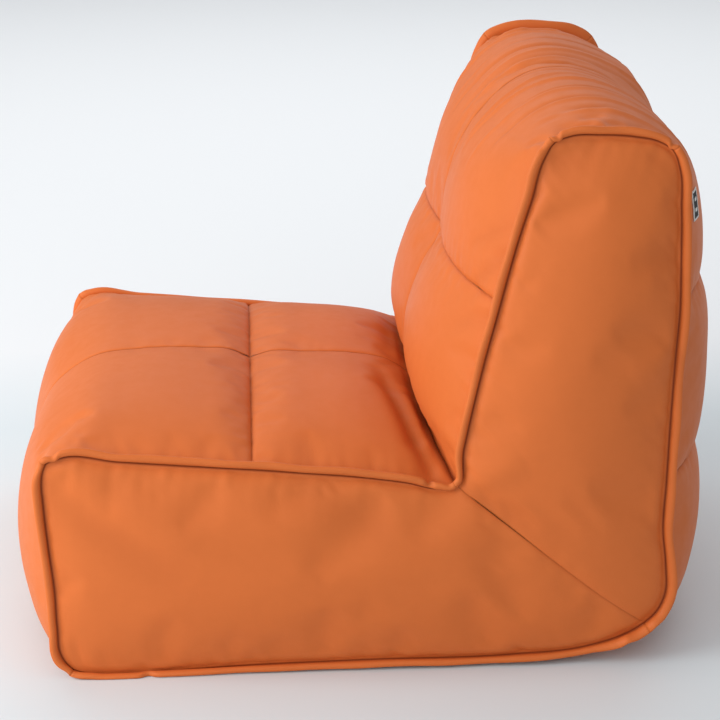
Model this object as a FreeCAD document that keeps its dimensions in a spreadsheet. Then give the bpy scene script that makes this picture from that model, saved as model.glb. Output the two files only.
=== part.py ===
import FreeCAD, Part
import math
import os

import Sketcher

# A bean bag lounge chair: an L-shaped cover (seat and backrest) filled with beads.
# Frame: +Z up, the sitter faces -Y, the sitter's left is +X, millimetres.
# The origin is on the floor, at the middle of the chair's box.

DIMENSIONS = {
    "seam_width": 670,          # between the two side seams
    "side_bulge": 38,           # how far each side panel swells past its seam
    "cover_thickness": 6,       # faux leather with its wadding backing
    "flange_thickness": 5,      # the four layers of a raised seam
    "flange_reach": 16,         # how far a raised seam stands out of the cover
    "flange_root": 2,           # how far it reaches in between the panels
    "seat_seam_y": -145,        # seam across the middle of the seat
    "back_seam_z": 507,         # seam across the middle of the backrest
    "rear_seam_low_z": 280,     # lower seam across the rear
    "baffle_thickness": 2,
    "liner_thickness": 1.5,
    "layer_gap": 0.3,           # between the cover, the liners and the beads
    "zip_length": 500,
    "slot_length": 564,         # opening in the base round the zip
    "slot_width": 44,
    "recess_margin": 12,        # hollow above the slot, past its edges
    "tape_width": 30,
    "tape_thickness": 1,
    "coil_radius": 1.4,
    "coil_spacing": 4.4,
    "guard_thickness": 1,
    "guard_rise": 3.6,          # guard above the cover's inner face
    "slider_width": 11,
    "slider_length": 13,
    "slider_plate": 0.9,
    "slider_mouth": 3.4,        # clear height between the slider's plates
    "slider_start": 1,          # from the coils' front end to the closed slider
    "post_width": 1,
    "overlap": 0.1,             # how far joined shapes run into each other
    "pull_drop": 4.4,           # pivot below the middle of the coils
    "pivot_radius": 0.55,
    "eye_radius": 0.9,
    "eye_wall": 0.6,
    "pull_width": 5,
    "pull_length": 26,
    "lug_width": 1,
    "lug_length": 2.2,
    "lug_margin": 0.4,          # lug below the pivot bar
    "pull_play": 0.4,           # each side of the pull, between the lugs
    "stop_length": 5,
    "label_width": 26,
    "label_height": 45,
    "label_thickness": 1.2,
    "label_x": 293,
    "label_z": 620,
}

# Side seam, seen from +X, clockwise from the front of the base. Each point has its place
# on the seam (y, z), how far the band swells from it in the middle (y, z), and the point
# inside the side panel that it heads for as the panel swells (y, z).
OUTLINE = {
    "toe": (-382, 12, -30, -8, -255, 125),
    "front_low": (-402, 45, -62, 4, -275, 135),
    "front_mid": (-412, 170, -60, 0, -280, 155),
    "front_high": (-413, 282, -42, 14, -275, 178),
    "seat_front": (-385, 309, -4, 36, -255, 185),
    "seat_mid": (-145, 287, 0, 48, -100, 165),
    "seat_rear": (70, 264, -6, 52, 130, 160),
    "crease": (117, 258, -36, 46, 205, 175),
    "back_low": (141, 364, -46, 10, 240, 260),
    "back_mid": (167, 507, -44, 0, 262, 440),
    "back_high": (212, 682, -38, 24, 285, 585),
    "top_front": (238, 711, -14, 54, 296, 605),
    "top_rear": (357, 703, 20, 56, 308, 605),
    "rear_top": (383, 682, 52, 26, 316, 590),
    "rear_high": (391, 505, 76, 0, 305, 440),
    "rear_low": (385, 268, 88, 0, 290, 260),
    "rear_bottom": (390, 110, 78, -6, 280, 150),
    "heel": (371, 60, 48, -42, 270, 130),
    "base_rear": (290, 24, 40, -24, 235, 118),
    "base_front": (-315, 2, -25, -2, -220, 120),
}
NAMES = list(OUTLINE)
FLOOR_POINTS = ("toe", "heel", "base_rear", "base_front")

# Across the band: share of the half width, share of the swell, share of the drop to the floor.
BAND_STATIONS = [
    (0.0, 0.86, 1.0),
    (0.25, 0.95, 1.0),
    (0.5, 1.0, 1.0),
    (0.74, 0.80, 1.0),
    (0.9, 0.45, 0.6),
]
# Across a side panel: share of its bulge, and share of the way to the inner points.
SIDE_STATIONS = [(0.45, 0.10), (0.78, 0.25), (0.95, 0.45), (1.0, 0.70)]

FAR = 1200                      # past every face of the chair
SIDE_DEPTH = 100                # past a side panel's bulge, from its seam
# Where the cuts between panels start inside the chair (y, z).
FRONT_HUB = (-260, 150)
ELBOW_HUB = (220, 150)
HEEL_HUB = (260, 127)
BACK_HUB = (280, 400)

doc = FreeCAD.newDocument("bean_bag_chair")
sheet = doc.addObject("Spreadsheet::Sheet", "Dims")


def fill_sheet():
    """Every driving dimension gets a cell with an alias, the outline's points included."""
    cells = dict(DIMENSIONS)
    suffixes = ("y", "z", "swell_y", "swell_z", "core_y", "core_z")
    for name, values in OUTLINE.items():
        for suffix, value in zip(suffixes, values):
            cells[f"{name}_{suffix}"] = value
    for row, (alias, value) in enumerate(cells.items(), 1):
        sheet.set(f"A{row}", alias)
        sheet.set(f"B{row}", str(value))
        sheet.setAlias(f"B{row}", alias)
    doc.recompute()


def value_of(expression):
    return float(sheet.evalExpression(expression))


def inward(name):
    """The way and distance that an outline point moves for 1 mm of inset."""
    place = NAMES.index(name)
    before, here, after = (OUTLINE[NAMES[(place + step) % len(NAMES)]][:2] for step in (-1, 0, 1))

    def unit_normal(start, end):
        run = (end[0] - start[0], end[1] - start[1])
        size = math.hypot(*run)
        return run[1] / size, -run[0] / size

    first = unit_normal(before, here)
    second = unit_normal(here, after)
    scale = 1 + first[0] * second[0] + first[1] * second[1]
    return (first[0] + second[0]) / scale, (first[1] + second[1]) / scale


def outline_point(name, inset="0", swell=0.0, drop=0.0, core=0.0):
    """The (y, z) expressions of an outline point on one section of the chair."""
    share = drop if name in FLOOR_POINTS else swell
    pair = []
    for letter, way in zip("yz", inward(name)):
        seam = f"Dims.{name}_{letter}"
        pair.append(
            f"{seam} + {share} * Dims.{name}_swell_{letter}"
            f" + {core} * (Dims.{name}_core_{letter} - {seam}) + {way:.4f} * ({inset})"
        )
    return pair


def side_plane(body):
    return next(f for f in body.Origin.OriginFeatures if f.Role == "YZ_Plane")


def closed_sketch(body, name, points, offset):
    """A closed polygon across X whose corners are held by expressions."""
    sketch = body.newObject("Sketcher::SketchObject", name)
    sketch.AttachmentSupport = [(side_plane(body), "")]
    sketch.MapMode = "FlatFace"
    sketch.setExpression("AttachmentOffset.Base.z", offset)
    corners = [FreeCAD.Vector(value_of(a), value_of(b), 0) for a, b in points]
    count = len(corners)
    for i in range(count):
        sketch.addGeometry(Part.LineSegment(corners[i], corners[(i + 1) % count]), False)
    joins = [Sketcher.Constraint("Coincident", i, 2, (i + 1) % count, 1) for i in range(count)]
    held = []
    for i, corner in enumerate(corners):
        held.append(Sketcher.Constraint("DistanceX", -1, 1, i, 1, corner.x))
        held.append(Sketcher.Constraint("DistanceY", -1, 1, i, 1, corner.y))
    sketch.addConstraint(joins + held)
    for i, pair in enumerate(points):
        for step, expression in enumerate(pair):
            sketch.setExpression(f"Constraints[{count + 2 * i + step}]", expression)
    return sketch


def envelope(label, inset):
    """The whole chair as one loft across X, every section set in by the same distance."""
    body = doc.addObject("PartDesign::Body", label)
    body.Label = label
    stations = []
    for share, swell, drop in BAND_STATIONS:
        stations.append((f"{share} * Dims.seam_width / 2", swell, drop, 0.0))
    stations.append(("Dims.seam_width / 2", 0.0, 0.0, 0.0))
    for bulge, core in SIDE_STATIONS:
        across = f"Dims.seam_width / 2 + {bulge} * Dims.side_bulge - ({inset})"
        stations.append((across, 0.0, 0.0, core))
    mirrored = [(f"0 - ({across})", *rest) for across, *rest in stations[:0:-1]]
    sketches = []
    for number, (across, swell, drop, core) in enumerate(mirrored + stations):
        points = [outline_point(name, inset, swell, drop, core) for name in NAMES]
        sketches.append(closed_sketch(body, f"{label}_section{number}", points, across))
    loft = body.newObject("PartDesign::AdditiveLoft", f"{label}_loft")
    loft.Profile = sketches[0]
    loft.Sections = sketches[1:]
    loft.Ruled = True
    return body


def prism(label, points, start, length):
    """A polygon padded along X; start and length are expressions."""
    body = doc.addObject("PartDesign::Body", label)
    body.Label = label
    sketch = closed_sketch(body, f"{label}_sketch", points, start)
    pad = body.newObject("PartDesign::Pad", f"{label}_pad")
    pad.Profile = sketch
    pad.setExpression("Length", length)
    return body


def block(label, lows, sizes):
    """A Part::Box from the expressions of its lowest corner and its sizes."""
    box = doc.addObject("Part::Box", label)
    box.Label = label
    for axis, expression in zip("xyz", lows):
        box.setExpression(f"Placement.Base.{axis}", expression)
    for side, expression in zip(("Length", "Width", "Height"), sizes):
        box.setExpression(side, expression)
    return box


def boolean(kind, label, base, tool):
    made = doc.addObject(f"Part::{kind}", label)
    made.Label = label
    made.Base = base
    made.Tool = tool
    return made


def fuse(label, shapes):
    made = doc.addObject("Part::MultiFuse", label)
    made.Label = label
    made.Shapes = shapes
    return made


def plain(points):
    return [(str(y), str(z)) for y, z in points]


def on_ray(hub, through, reach):
    """A far point on the ray from hub through another point."""
    run = (through[0] - hub[0], through[1] - hub[1])
    scale = reach / math.hypot(*run)
    return hub[0] + run[0] * scale, hub[1] + run[1] * scale


def band_regions():
    """The stretch of the band that each panel covers, as a polygon seen from +X."""
    seat_y = DIMENSIONS["seat_seam_y"]
    back_z = DIMENSIONS["back_seam_z"]
    low_z = DIMENSIONS["rear_seam_low_z"]
    front = on_ray(FRONT_HUB, OUTLINE["toe"][:2], FAR)
    crease = on_ray(ELBOW_HUB, OUTLINE["crease"][:2], FAR / 2)
    heel = on_ray(HEEL_HUB, OUTLINE["heel"][:2], FAR)
    hub_y = BACK_HUB[0]
    return {
        "base": [FRONT_HUB, front, heel, HEEL_HUB],
        "front_seat": [FRONT_HUB, (seat_y, FRONT_HUB[1]), (seat_y, FAR), (-FAR, FAR), front],
        "rear_seat": [(seat_y, FRONT_HUB[1]), ELBOW_HUB, crease, (seat_y, FAR / 2)],
        "lower_backrest": [ELBOW_HUB, (hub_y, back_z), (-FAR / 4, back_z), crease],
        "upper_backrest": [(-FAR, back_z), (FAR, back_z), (FAR, FAR), (-FAR, FAR)],
        "rear_middle": [(hub_y, low_z), (FAR, low_z), (FAR, back_z), (hub_y, back_z)],
        "rear_lower": [HEEL_HUB, heel, (FAR, low_z), (hub_y, low_z)],
    }


def make_cover(outer, inner):
    """The cover's panels: the wall between the two envelopes, cut at its seams."""
    wall = boolean("Cut", "cover_wall", outer, inner)
    slot = block(
        "base_slot",
        ("0 - Dims.slot_width / 2", "0 - Dims.slot_length / 2", "0 - Dims.cover_thickness"),
        ("Dims.slot_width", "Dims.slot_length", "3 * Dims.cover_thickness"),
    )
    half_band = "(Dims.seam_width - Dims.flange_thickness) / 2"
    beyond = "(Dims.seam_width + Dims.flange_thickness) / 2"
    made = []
    for side, start in (("left", "0"), ("right", f"0 - {half_band}")):
        for name, region in band_regions().items():
            cutter = prism(f"{side}_{name}_region", plain(region), start, half_band)
            if name == "base":
                whole = boolean("Common", f"{side}_base_whole", wall, cutter)
                made.append(boolean("Cut", f"{side}_base_panel", whole, slot))
            else:
                made.append(boolean("Common", f"{side}_{name}_panel", wall, cutter))
    mitre_front = on_ray(OUTLINE["heel"][:2], OUTLINE["crease"][:2], FAR)
    mitre_rear = on_ray(OUTLINE["crease"][:2], OUTLINE["heel"][:2], FAR)
    halves = {
        "side_seat": [mitre_front, (-FAR, -FAR), (FAR, -FAR), mitre_rear],
        "side_back": [mitre_front, mitre_rear, (FAR, FAR), (-FAR / 2, FAR)],
    }
    for side, start in (("left", beyond), ("right", f"0 - {beyond} - {SIDE_DEPTH}")):
        for name, region in halves.items():
            cutter = prism(f"{side}_{name}_region", plain(region), start, str(SIDE_DEPTH))
            made.append(boolean("Common", f"{side}_{name}_panel", wall, cutter))
    return made


def make_flanges():
    """The raised seams: flat strips that stand out of the cover in the side seam's plane."""
    spans = {
        "front": ("toe", "front_high"),
        "seat": ("front_high", "crease"),
        "backrest": ("crease", "top_front"),
        "top": ("top_front", "rear_top"),
        "rear": ("rear_top", "heel"),
        "base": ("heel", "toe"),
    }
    made = []
    for side, sign in (("left", ""), ("right", "0 - ")):
        start = f"{sign}Dims.seam_width / 2 - Dims.flange_thickness / 2"
        for name, (first, last) in spans.items():
            begin = NAMES.index(first)
            steps = (NAMES.index(last) - begin) % len(NAMES)
            run = [NAMES[(begin + step) % len(NAMES)] for step in range(steps + 1)]
            inside = [outline_point(point, "Dims.flange_root") for point in run]
            outside = [outline_point(point, "0 - Dims.flange_reach") for point in run]
            above_floor = [(y, f"max({z}; 0)") for y, z in outside]
            corners = above_floor + inside[::-1]
            made.append(prism(f"{side}_{name}_flange", corners, start, "Dims.flange_thickness"))
    return made


def make_filling():
    """The divider across the elbow, and a bead-filled liner on each side of it."""
    crease = OUTLINE["crease"][:2]
    heel = OUTLINE["heel"][:2]
    angle = math.atan2(heel[1] - crease[1], heel[0] - crease[0])
    across = (math.sin(angle), -math.cos(angle))
    ahead = on_ray(heel, crease, FAR)
    behind = on_ray(crease, heel, FAR)

    def shifted(point, distance):
        return tuple(
            f"{value:.3f} + ({distance}) * {way:.5f}" for value, way in zip(point, across)
        )

    def chamber(label, hull, side, distance):
        """The part of an envelope on one side of the divider, clear of the zip's recess."""
        away = f"{side} * ({distance})"
        near = [shifted(ahead, away), shifted(behind, away)]
        far = [shifted(behind, f"{side * FAR}"), shifted(ahead, f"{side * FAR}")]
        cutter = prism(f"{label}_region", near + far, str(-FAR), str(2 * FAR))
        whole = boolean("Common", f"{label}_whole", hull, cutter)
        recess = block(
            f"{label}_recess",
            (
                f"0 - Dims.slot_width / 2 - Dims.recess_margin - ({distance})",
                f"0 - Dims.slot_length / 2 - Dims.recess_margin - ({distance})",
                "0",
            ),
            (
                f"Dims.slot_width + 2 * Dims.recess_margin + 2 * ({distance})",
                f"Dims.slot_length + 2 * Dims.recess_margin + 2 * ({distance})",
                f"Dims.cover_thickness + Dims.guard_rise + Dims.guard_thickness + ({distance})",
            ),
        )
        return boolean("Cut", label, whole, recess)

    half_baffle = "Dims.baffle_thickness / 2"
    gap = "Dims.layer_gap"
    skin = "Dims.liner_thickness"
    hulls = [
        envelope("liner_outside", f"Dims.cover_thickness + {gap}"),
        envelope("liner_inside", f"Dims.cover_thickness + {gap} + {skin}"),
        envelope("bead_hull", f"Dims.cover_thickness + 2 * {gap} + {skin}"),
    ]
    distances = [
        f"{half_baffle} + {gap}",
        f"{half_baffle} + {gap} + {skin}",
        f"{half_baffle} + 2 * {gap} + {skin}",
    ]
    made = []
    for name, side in (("seat", 1), ("back", -1)):
        outside = chamber(f"{name}_liner_outside", hulls[0], side, distances[0])
        inside = chamber(f"{name}_liner_inside", hulls[1], side, distances[1])
        made.append(boolean("Cut", f"{name}_liner", outside, inside))
        made.append(chamber(f"{name}_bead_fill", hulls[2], side, distances[2]))
    slab = [
        shifted(ahead, half_baffle),
        shifted(behind, half_baffle),
        shifted(behind, f"0 - {half_baffle}"),
        shifted(ahead, f"0 - {half_baffle}"),
    ]
    sheet_cutter = prism("baffle_region", slab, str(-FAR), str(2 * FAR))
    made.append(boolean("Common", "divider_baffle", hulls[0], sheet_cutter))
    return made


def make_zip():
    """A coil zip in the base, its slider at the front end, its pull lying back along it."""
    length = "Dims.zip_length"
    begin = f"0 - {length} / 2"
    half_gap = "Dims.coil_spacing / 2"
    tape_low = "Dims.cover_thickness"
    middle = "(Dims.cover_thickness + Dims.tape_thickness / 2)"
    made = []
    for side, sign in (("left", 1), ("right", -1)):
        near = f"({half_gap} + Dims.coil_radius)"
        low_x = near if sign > 0 else f"0 - {near} - Dims.tape_width"
        made.append(
            block(
                f"zip_tape_{side}",
                (low_x, "0 - Dims.slot_length / 2", tape_low),
                ("Dims.tape_width", "Dims.slot_length", "Dims.tape_thickness"),
            )
        )
        coil = doc.addObject("Part::Cylinder", f"zip_coil_{side}")
        coil.Label = f"zip_coil_{side}"
        coil.setExpression("Radius", "Dims.coil_radius")
        coil.setExpression("Height", length)
        coil.Placement.Rotation = FreeCAD.Rotation(FreeCAD.Vector(1, 0, 0), -90)
        coil.setExpression("Placement.Base.x", f"{sign} * {half_gap}")
        coil.setExpression("Placement.Base.y", begin)
        coil.setExpression("Placement.Base.z", middle)
        made.append(coil)
    span = "(Dims.coil_spacing + 2 * Dims.coil_radius)"
    for name, low_y in (("front", f"{begin} - Dims.stop_length"), ("rear", f"{length} / 2")):
        made.append(
            block(
                f"zip_{name}_stop",
                (f"0 - {span} / 2", low_y, f"{middle} - Dims.coil_radius"),
                (span, "Dims.stop_length", "2 * Dims.coil_radius"),
            )
        )
    made.append(
        block(
            "zip_guard",
            (
                "0 - Dims.slot_width / 2 - Dims.recess_margin",
                "0 - Dims.slot_length / 2 - Dims.recess_margin",
                "Dims.cover_thickness + Dims.guard_rise",
            ),
            (
                "Dims.slot_width + 2 * Dims.recess_margin",
                "Dims.slot_length + 2 * Dims.recess_margin",
                "Dims.guard_thickness",
            ),
        )
    )
    made.append(make_slider(begin, middle))
    made.append(make_pull(begin, middle))
    return made


def make_slider(begin, middle):
    """Two plates joined by a post between the coils, with a pivot bar held by two lugs."""
    low_y = f"{begin} + Dims.slider_start"
    half_mouth = "Dims.slider_mouth / 2"
    plates = []
    for name, low_z in (
        ("upper", f"{middle} + {half_mouth}"),
        ("lower", f"{middle} - {half_mouth} - Dims.slider_plate"),
    ):
        plates.append(
            block(
                f"slider_{name}_plate",
                ("0 - Dims.slider_width / 2", low_y, low_z),
                ("Dims.slider_width", "Dims.slider_length", "Dims.slider_plate"),
            )
        )
    post = block(
        "slider_post",
        ("0 - Dims.post_width / 2", low_y, f"{middle} - {half_mouth} - Dims.overlap"),
        ("Dims.post_width", "Dims.slider_length / 2", "Dims.slider_mouth + 2 * Dims.overlap"),
    )
    pivot_z = f"({middle} - Dims.pull_drop)"
    pivot_y = f"({begin} + Dims.slider_start + Dims.slider_length / 2)"
    bar_length = "(Dims.pull_width + 2 * Dims.pull_play + 2 * Dims.lug_width)"
    bar = doc.addObject("Part::Cylinder", "slider_pivot")
    bar.setExpression("Radius", "Dims.pivot_radius")
    bar.setExpression("Height", bar_length)
    bar.Placement.Rotation = FreeCAD.Rotation(FreeCAD.Vector(0, 1, 0), 90)
    bar.setExpression("Placement.Base.x", f"0 - {bar_length} / 2")
    bar.setExpression("Placement.Base.y", pivot_y)
    bar.setExpression("Placement.Base.z", pivot_z)
    lugs = []
    for name, low_x in (
        ("left", f"{bar_length} / 2 - Dims.lug_width"),
        ("right", f"0 - {bar_length} / 2"),
    ):
        lugs.append(
            block(
                f"slider_{name}_lug",
                (
                    low_x,
                    f"{pivot_y} - Dims.lug_length / 2",
                    f"{pivot_z} - Dims.pivot_radius - Dims.lug_margin",
                ),
                (
                    "Dims.lug_width",
                    "Dims.lug_length",
                    f"Dims.pull_drop - {half_mouth} + Dims.pivot_radius + Dims.lug_margin",
                ),
            )
        )
    return fuse("zip_slider", [*plates, post, bar, *lugs])


def make_pull(begin, middle):
    """An eye round the pivot bar and a flat tab, which lies towards the rear at rest."""
    pivot_z = f"({middle} - Dims.pull_drop)"
    pivot_y = f"({begin} + Dims.slider_start + Dims.slider_length / 2)"
    rings = []
    for name, radius in (("outside", "Dims.eye_radius + Dims.eye_wall"), ("hole", "Dims.eye_radius")):
        ring = doc.addObject("Part::Cylinder", f"pull_eye_{name}")
        ring.setExpression("Radius", radius)
        ring.setExpression("Height", "Dims.pull_width")
        ring.Placement.Rotation = FreeCAD.Rotation(FreeCAD.Vector(0, 1, 0), 90)
        ring.setExpression("Placement.Base.x", "0 - Dims.pull_width / 2")
        ring.setExpression("Placement.Base.y", pivot_y)
        ring.setExpression("Placement.Base.z", pivot_z)
        rings.append(ring)
    tab = block(
        "pull_tab",
        (
            "0 - Dims.pull_width / 2",
            f"{pivot_y} + Dims.eye_radius + Dims.overlap",
            f"{pivot_z} - Dims.eye_wall",
        ),
        ("Dims.pull_width", "Dims.pull_length", "2 * Dims.eye_wall"),
    )
    solid = fuse("pull_solid", [rings[0], tab])
    return boolean("Cut", "zip_pull", solid, rings[1])


def make_label(outer):
    """A small woven patch sewn flat on the rear, near the left seam."""
    raised = envelope("label_hull", "0 - Dims.label_thickness")
    patch = block(
        "label_block",
        (
            "Dims.label_x - Dims.label_width / 2",
            "Dims.back_mid_core_y",
            "Dims.label_z - Dims.label_height / 2",
        ),
        ("Dims.label_width", str(FAR), "Dims.label_height"),
    )
    skin = boolean("Cut", "label_skin", raised, outer)
    return boolean("Common", "woven_label", skin, patch)


fill_sheet()
outer = envelope("outer_hull", "0")
inner = envelope("inner_hull", "Dims.cover_thickness")
doc.recompute()
nodes = make_cover(outer, inner) + make_flanges() + make_filling() + make_zip()
nodes.append(make_label(outer))
doc.recompute()

for item in doc.Objects:
    if "Invalid" in item.State or "Error" in item.State:
        raise RuntimeError(f"{item.Label} is {item.State}")
os.makedirs("parts", exist_ok=True)
for node in nodes:
    shape = node.Shape
    if shape.isNull() or not shape.isValid() or shape.Volume <= 0:
        raise RuntimeError(f"{node.Label} has no valid shape")
    print(f"{node.Label}: {len(shape.Solids)} solid, {shape.Volume / 1000:.1f} cm3")
for node in nodes:
    node.Shape.exportStep(f"parts/{node.Label}.step")
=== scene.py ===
import math

import bmesh
import bpy
import numpy as np
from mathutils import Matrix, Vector


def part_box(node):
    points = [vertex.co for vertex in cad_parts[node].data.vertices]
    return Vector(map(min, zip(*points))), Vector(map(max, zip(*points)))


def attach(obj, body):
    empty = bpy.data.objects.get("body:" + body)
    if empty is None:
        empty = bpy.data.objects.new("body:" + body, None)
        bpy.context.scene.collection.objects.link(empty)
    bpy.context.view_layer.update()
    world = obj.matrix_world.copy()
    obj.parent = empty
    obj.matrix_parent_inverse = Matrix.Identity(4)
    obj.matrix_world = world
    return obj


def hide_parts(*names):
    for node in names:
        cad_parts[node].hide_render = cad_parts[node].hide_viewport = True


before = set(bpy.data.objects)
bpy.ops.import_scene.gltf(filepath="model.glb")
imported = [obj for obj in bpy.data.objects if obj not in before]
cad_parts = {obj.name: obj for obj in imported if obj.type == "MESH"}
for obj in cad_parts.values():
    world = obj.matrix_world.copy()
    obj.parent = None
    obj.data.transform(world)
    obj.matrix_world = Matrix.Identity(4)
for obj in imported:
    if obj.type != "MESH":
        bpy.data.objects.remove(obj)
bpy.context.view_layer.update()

# The bean bag chair's looks. Metres, +Z up, the sitter faces -Y, the sitter's left is +X.
# The cover is a set of four-sided patches. They are joined into one closed skin, which is
# inflated as cloth with its seams held, and then cut back into its panels.

SIDES = (("left", 1), ("right", -1))

# ---------------- sizes from the frame
FLANGE_LOW, FLANGE_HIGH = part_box("left_rear_flange")
SEAM_X = (FLANGE_LOW.x + FLANGE_HIGH.x) / 2
SIDE_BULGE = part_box("left_side_seat_panel")[1].x - SEAM_X
SLOT_HALF_LENGTH = (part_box("zip_tape_left")[1].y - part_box("zip_tape_left")[0].y) / 2
SLOT_HALF_WIDTH = 0.022
TAPE_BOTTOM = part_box("zip_tape_left")[0].z

# ---------------- outlines of the seams
# Each closed outline runs clockwise seen from +X, from the front of the base. A stretch
# starts at its first point and ends where the next one starts. Points are (y, z).
EDGE = {
    "front": [(-.383, .011), (-.398, .032), (-.401, .070), (-.402, .125), (-.407, .190),
              (-.410, .245), (-.410, .282)],
    "seat_front": [(-.404, .301), (-.384, .309), (-.315, .302), (-.205, .292)],
    "seat_rear": [(-.145, .287), (-.094, .282), (-.009, .273), (.050, .264), (.090, .255)],
    "backrest_low": [(.114, .259), (.123, .309), (.134, .366), (.148, .430)],
    "backrest_high": [(.165, .500), (.185, .581), (.200, .632), (.214, .684)],
    "top": [(.226, .704), (.246, .712), (.282, .713), (.324, .710), (.352, .704)],
    "rear_high": [(.370, .693), (.380, .670), (.385, .618), (.388, .555)],
    "rear_mid": [(.390, .491), (.388, .430), (.386, .345)],
    "rear_low": [(.385, .256), (.384, .190), (.390, .140), (.391, .096), (.382, .073)],
    "base": [(.366, .056), (.342, .041), (.290, .024), (.190, .015), (.0, .013),
             (-.173, .009), (-.250, .005), (-.315, .002), (-.360, .004)],
}
CENTRE = {
    "front": [(-.408, .003), (-.440, .026), (-.455, .075), (-.460, .130), (-.455, .190),
              (-.442, .243), (-.423, .282)],
    "seat_front": [(-.400, .304), (-.365, .325), (-.300, .335), (-.215, .335), (-.170, .331)],
    "seat_rear": [(-.145, .321), (-.120, .327), (-.067, .326), (-.004, .323), (.047, .313)],
    "backrest_low": [(.080, .298), (.074, .342), (.079, .395), (.099, .456)],
    "backrest_high": [(.125, .508), (.127, .540), (.133, .579), (.143, .616), (.163, .655)],
    "top": [(.184, .681), (.210, .706), (.249, .725), (.287, .728), (.328, .718), (.364, .700)],
    "rear_high": [(.396, .676), (.424, .634), (.440, .580), (.446, .530)],
    "rear_mid": [(.445, .494), (.455, .460), (.460, .385), (.458, .290)],
    "rear_low": [(.453, .258), (.461, .220), (.464, .160), (.454, .090), (.440, .040)],
    "base": [(.420, .012), (.380, .002), (.330, .0), (.0, .0), (-.340, .0), (-.385, .0)],
}
# How far a half of the band swells over its two seams, at a stretch's start and middle.
PLUMP = {"front": (.002, .008), "seat_front": (.005, .006), "seat_rear": (.002, .006),
         "backrest_low": (.003, .012), "backrest_high": (.0135, .012), "top": (.005, .007),
         "rear_high": (.006, .010), "rear_mid": (.008, .013), "rear_low": (.009, .012),
         "base": (.003, .0)}
# What the right half adds to that, because its beads have settled differently.
RIGHT_EXTRA = {"front": (.0, .002), "seat_front": (.008, .0), "seat_rear": (.0, .0),
               "backrest_low": (.0, .0), "backrest_high": (.0, -.006), "top": (-.003, .003),
               "rear_high": (.014, .004), "rear_mid": (.0, .0), "rear_low": (.0, .0), "base": (.0, .0)}
# How gently that swelling leaves the centre seam: 1 folds the cover there, 2 hides the seam.
GENTLE = {"front": (1.2, 1.3), "seat_front": (1.3, 1.2), "seat_rear": (1.0, 1.1),
          "backrest_low": (1.0, 0.9), "backrest_high": (0.8, 1.1), "top": (1.8, 2.2),
          "rear_high": (1.9, 1.2), "rear_mid": (0.9, 0.9), "rear_low": (0.9, 1.0), "base": (1.0, 1.0)}
SHOULDER = 3.3  # how squarely the band turns down to a side seam
# The divider's seam on the side, from the crease to the heel, between its two ends.
MITRE = [(.192, .197), (.243, .155), (.305, .103)]
CELLS = {"front": 24, "seat_front": 30, "seat_rear": 30, "backrest_low": 29, "backrest_high": 25,
         "top": 24, "rear_high": 17, "rear_mid": 19, "rear_low": 18, "base": 60}
ACROSS = 32  # cells from the centre seam to a side seam
# Each panel of the band, and the stretches that it covers.
BAND_PANELS = {
    "base": ["base"], "front_seat": ["front", "seat_front"],
    "rear_seat": ["seat_rear"], "lower_backrest": ["backrest_low"],
    "upper_backrest": ["backrest_high", "top", "rear_high"],
    "rear_middle": ["rear_mid"], "rear_lower": ["rear_low"],
}


def hermite(points, at):
    """A smooth line through points, at parameters counted in points (Catmull-Rom by chords)."""
    points = np.asarray(points, float)
    chord = np.maximum(np.linalg.norm(np.diff(points, axis=0), axis=1), 1e-6)
    knots = np.concatenate([[0], np.cumsum(chord)])
    slope = np.diff(points, axis=0) / chord[:, None]
    tangent = np.empty_like(points)
    tangent[0], tangent[-1] = slope[0], slope[-1]
    before, after = chord[:-1, None], chord[1:, None]
    tangent[1:-1] = (slope[:-1] * after + slope[1:] * before) / (before + after)
    first = np.clip(np.floor(at).astype(int), 0, len(points) - 2)
    t = (at - first)[:, None]
    width = (knots[first + 1] - knots[first])[:, None]
    a, b = points[first], points[first + 1]
    ta, tb = tangent[first] * width, tangent[first + 1] * width
    return ((2 * t**3 - 3 * t**2 + 1) * a + (t**3 - 2 * t**2 + t) * ta
            + (-2 * t**3 + 3 * t**2) * b + (t**3 - t**2) * tb)


def evenly(line, cells):
    """The same line at equal steps of its length."""
    length = np.concatenate([[0], np.cumsum(np.linalg.norm(np.diff(line, axis=0), axis=1))])
    wanted = np.linspace(0, length[-1], cells + 1)
    return np.stack([np.interp(wanted, length, line[:, i]) for i in range(line.shape[1])], axis=1)


def stretches(outline):
    """Each stretch of a closed outline, as CELLS + 1 even points, smooth through its ends."""
    ring = [p for points in outline.values() for p in points]
    wrapped = ring[-3:] + ring + ring[:4]
    result, begin = {}, 3
    for name, points in outline.items():
        end = begin + len(points)
        fine = hermite(wrapped, np.linspace(begin, end, 40 * len(points) + 1))
        result[name] = evenly(fine, CELLS[name])
        begin = end
    return result


EDGE_LINES, CENTRE_LINES = stretches(EDGE), stretches(CENTRE)


def swell(t, power):
    """How far a panel stands off the line between two seams, 1 in the middle."""
    return np.sin(np.pi * np.clip(t, 0, 1)) ** power


def eased(table, name):
    """A table's value along one stretch, eased from its start to its middle to the next start."""
    names = list(table)
    after = names[(names.index(name) + 1) % len(names)]
    start, middle, end = table[name][0], table[name][1], table[after][0]
    along = np.linspace(0, 1, CELLS[name] + 1)
    tail = np.where(along < 0.5, start, end)
    return tail + (middle - tail) * np.sin(np.pi * along) ** 0.8


def outward_of(line):
    """The unit normals of an outline's points, away from the chair."""
    tangent = np.gradient(line, axis=0)
    tangent /= np.linalg.norm(tangent, axis=1, keepdims=True)
    return np.stack([-tangent[:, 1], tangent[:, 0]], axis=1)


def closed_normals(ring):
    """The same for a closed outline, whose last point isn't repeated."""
    return outward_of(np.concatenate([ring[-1:], ring, ring[:1]]))[1:-1]


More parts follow.
